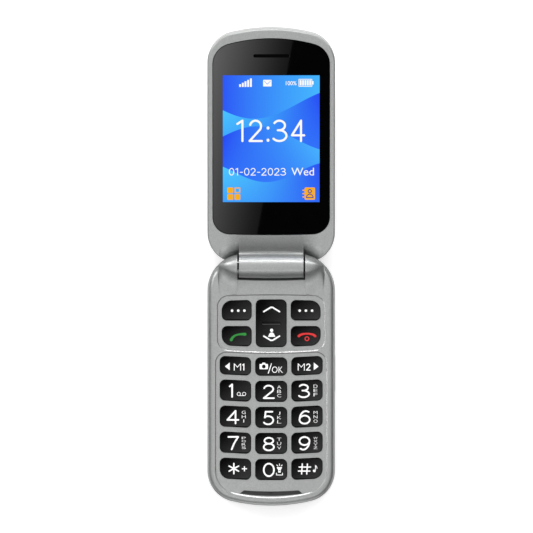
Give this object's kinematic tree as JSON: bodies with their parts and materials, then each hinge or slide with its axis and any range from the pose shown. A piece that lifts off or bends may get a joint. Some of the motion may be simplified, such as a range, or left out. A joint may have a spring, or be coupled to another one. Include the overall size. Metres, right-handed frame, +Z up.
{
  "type": "flip phone",
  "caption": "Clamshell mobile phone lying open on its back: a keypad half with raised keys, a hinged half with a large display, a folding hinge, and a removable battery cover.",
  "frame": {"origin": "middle of the keypad half's flat back, which lies on the floor", "axes": "+Z up out of the keypad; +Y from the keypad half to the display half; +X to the reader's right"},
  "size_m": [0.0572, 0.2139, 0.0289],
  "materials": {
    "silver_casing": "satin silver paint",
    "black_keys": "semi-gloss",
    "black_window": "high gloss",
    "display_module": "gloss",
    "circuit_board": "solder mask",
    "keypad_rubber": "matte",
    "shield_steel": "brushed",
    "contact_brass": "polished",
    "battery_case": "wrapped",
    "black_trim": "matte",
    "ribbon": "satin",
    "camera_trim": "turned",
    "clear_lens": "clear",
    "orange_button": "semi-gloss"
  },
  "bodies": {
    "keypad_half": {"antenna_carrier": "black_trim", "battery": "battery_case", "battery_contacts": "contact_brass", "battery_cover": "silver_casing", "hinge_pin": "shield_steel", "hinge_shaft": "shield_steel", "keypad_mat": "keypad_rubber", "loudspeaker": "shield_steel", "lower_front_housing": "silver_casing", "lower_rear_housing": "silver_casing", "lower_screws": "shield_steel", "main_circuit_board": "circuit_board", "microphone": "black_trim", "microphone_slot_trim": "black_trim", "ribbon_tail": "ribbon", "shield_can": "shield_steel", "sim_holder": "shield_steel", "usb_socket": "shield_steel", "vibration_motor": "shield_steel"},
    "display_half": {"flip_front_housing": "silver_casing", "flip_rear_housing": "silver_casing", "display_pane": "black_window", "main_display": "display_module", "earpiece_mesh": "black_trim", "earpiece_speaker": "black_trim", "flip_circuit_board": "circuit_board", "outer_window": "black_window", "outer_display": "display_module", "camera_ring": "camera_trim", "camera_lens": "clear_lens", "camera_module": "black_trim", "torch_lens": "clear_lens", "closing_magnet": "shield_steel", "flip_screws": "shield_steel", "screw_caps": "silver_casing", "hinge_cartridge": "shield_steel", "hinge_ribbon": "ribbon"},
    "call_key_body": {"call_key": "black_keys"},
    "end_key_body": {"end_key": "black_keys"},
    "key_0_body": {"key_0": "black_keys"},
    "key_1_body": {"key_1": "black_keys"},
    "key_2_body": {"key_2": "black_keys"},
    "key_3_body": {"key_3": "black_keys"},
    "key_4_body": {"key_4": "black_keys"},
    "key_5_body": {"key_5": "black_keys"},
    "key_6_body": {"key_6": "black_keys"},
    "key_7_body": {"key_7": "black_keys"},
    "key_8_body": {"key_8": "black_keys"},
    "key_9_body": {"key_9": "black_keys"},
    "key_hash_body": {"key_hash": "black_keys"},
    "key_m1_body": {"key_m1": "black_keys"},
    "key_m2_body": {"key_m2": "black_keys"},
    "key_ok_body": {"key_ok": "black_keys"},
    "key_star_body": {"key_star": "black_keys"},
    "nav_key_body": {"nav_key": "black_keys"},
    "soft_key_left_body": {"soft_key_left": "black_keys"},
    "soft_key_right_body": {"soft_key_right": "black_keys"},
    "volume_rocker_body": {"volume_rocker": "silver_casing"},
    "help_button_body": {"help_button": "orange_button"}
  },
  "joints": [
    {"name": "flip_hinge", "type": "hinge", "parent": "keypad_half", "child": "display_half", "pos_m": [0, 0.0536, 0.0109], "axis": [1, 0, 0], "range_deg": [0, 170]},
    {"name": "call_key_press", "type": "slide", "parent": "keypad_half", "child": "call_key_body", "axis": [0, 0, -1], "range_m": [0, 0.00035], "stiffness_N_per_m": 1500, "springref_m": -0.0005},
    {"name": "end_key_press", "type": "slide", "parent": "keypad_half", "child": "end_key_body", "axis": [0, 0, -1], "range_m": [0, 0.00035], "stiffness_N_per_m": 1500, "springref_m": -0.0005},
    {"name": "key_0_press", "type": "slide", "parent": "keypad_half", "child": "key_0_body", "axis": [0, 0, -1], "range_m": [0, 0.00035], "stiffness_N_per_m": 1500, "springref_m": -0.0005},
    {"name": "key_1_press", "type": "slide", "parent": "keypad_half", "child": "key_1_body", "axis": [0, 0, -1], "range_m": [0, 0.00035], "stiffness_N_per_m": 1500, "springref_m": -0.0005},
    {"name": "key_2_press", "type": "slide", "parent": "keypad_half", "child": "key_2_body", "axis": [0, 0, -1], "range_m": [0, 0.00035], "stiffness_N_per_m": 1500, "springref_m": -0.0005},
    {"name": "key_3_press", "type": "slide", "parent": "keypad_half", "child": "key_3_body", "axis": [0, 0, -1], "range_m": [0, 0.00035], "stiffness_N_per_m": 1500, "springref_m": -0.0005},
    {"name": "key_4_press", "type": "slide", "parent": "keypad_half", "child": "key_4_body", "axis": [0, 0, -1], "range_m": [0, 0.00035], "stiffness_N_per_m": 1500, "springref_m": -0.0005},
    {"name": "key_5_press", "type": "slide", "parent": "keypad_half", "child": "key_5_body", "axis": [0, 0, -1], "range_m": [0, 0.00035], "stiffness_N_per_m": 1500, "springref_m": -0.0005},
    {"name": "key_6_press", "type": "slide", "parent": "keypad_half", "child": "key_6_body", "axis": [0, 0, -1], "range_m": [0, 0.00035], "stiffness_N_per_m": 1500, "springref_m": -0.0005},
    {"name": "key_7_press", "type": "slide", "parent": "keypad_half", "child": "key_7_body", "axis": [0, 0, -1], "range_m": [0, 0.00035], "stiffness_N_per_m": 1500, "springref_m": -0.0005},
    {"name": "key_8_press", "type": "slide", "parent": "keypad_half", "child": "key_8_body", "axis": [0, 0, -1], "range_m": [0, 0.00035], "stiffness_N_per_m": 1500, "springref_m": -0.0005},
    {"name": "key_9_press", "type": "slide", "parent": "keypad_half", "child": "key_9_body", "axis": [0, 0, -1], "range_m": [0, 0.00035], "stiffness_N_per_m": 1500, "springref_m": -0.0005},
    {"name": "key_hash_press", "type": "slide", "parent": "keypad_half", "child": "key_hash_body", "axis": [0, 0, -1], "range_m": [0, 0.00035], "stiffness_N_per_m": 1500, "springref_m": -0.0005},
    {"name": "key_m1_press", "type": "slide", "parent": "keypad_half", "child": "key_m1_body", "axis": [0, 0, -1], "range_m": [0, 0.00035], "stiffness_N_per_m": 1500, "springref_m": -0.0005},
    {"name": "key_m2_press", "type": "slide", "parent": "keypad_half", "child": "key_m2_body", "axis": [0, 0, -1], "range_m": [0, 0.00035], "stiffness_N_per_m": 1500, "springref_m": -0.0005},
    {"name": "key_ok_press", "type": "slide", "parent": "keypad_half", "child": "key_ok_body", "axis": [0, 0, -1], "range_m": [0, 0.00035], "stiffness_N_per_m": 1500, "springref_m": -0.0005},
    {"name": "key_star_press", "type": "slide", "parent": "keypad_half", "child": "key_star_body", "axis": [0, 0, -1], "range_m": [0, 0.00035], "stiffness_N_per_m": 1500, "springref_m": -0.0005},
    {"name": "nav_key_rock", "type": "hinge", "parent": "keypad_half", "child": "nav_key_body", "pos_m": [0, 0.028, 0.0082], "axis": [1, 0, 0], "range_deg": [-1.2, 1.2], "stiffness_Nm_per_rad": 0.5},
    {"name": "soft_key_left_press", "type": "slide", "parent": "keypad_half", "child": "soft_key_left_body", "axis": [0, 0, -1], "range_m": [0, 0.00035], "stiffness_N_per_m": 1500, "springref_m": -0.0005},
    {"name": "soft_key_right_press", "type": "slide", "parent": "keypad_half", "child": "soft_key_right_body", "axis": [0, 0, -1], "range_m": [0, 0.00035], "stiffness_N_per_m": 1500, "springref_m": -0.0005},
    {"name": "volume_rock", "type": "hinge", "parent": "keypad_half", "child": "volume_rocker_body", "pos_m": [0.026, 0.0056, 0.0068], "axis": [0, 0, 1], "range_deg": [-1.5, 1.5], "stiffness_Nm_per_rad": 0.3},
    {"name": "help_press", "type": "slide", "parent": "keypad_half", "child": "help_button_body", "axis": [0, 0, 1], "range_m": [0, 0.0004], "stiffness_N_per_m": 1500, "springref_m": -0.0005}
  ]
}
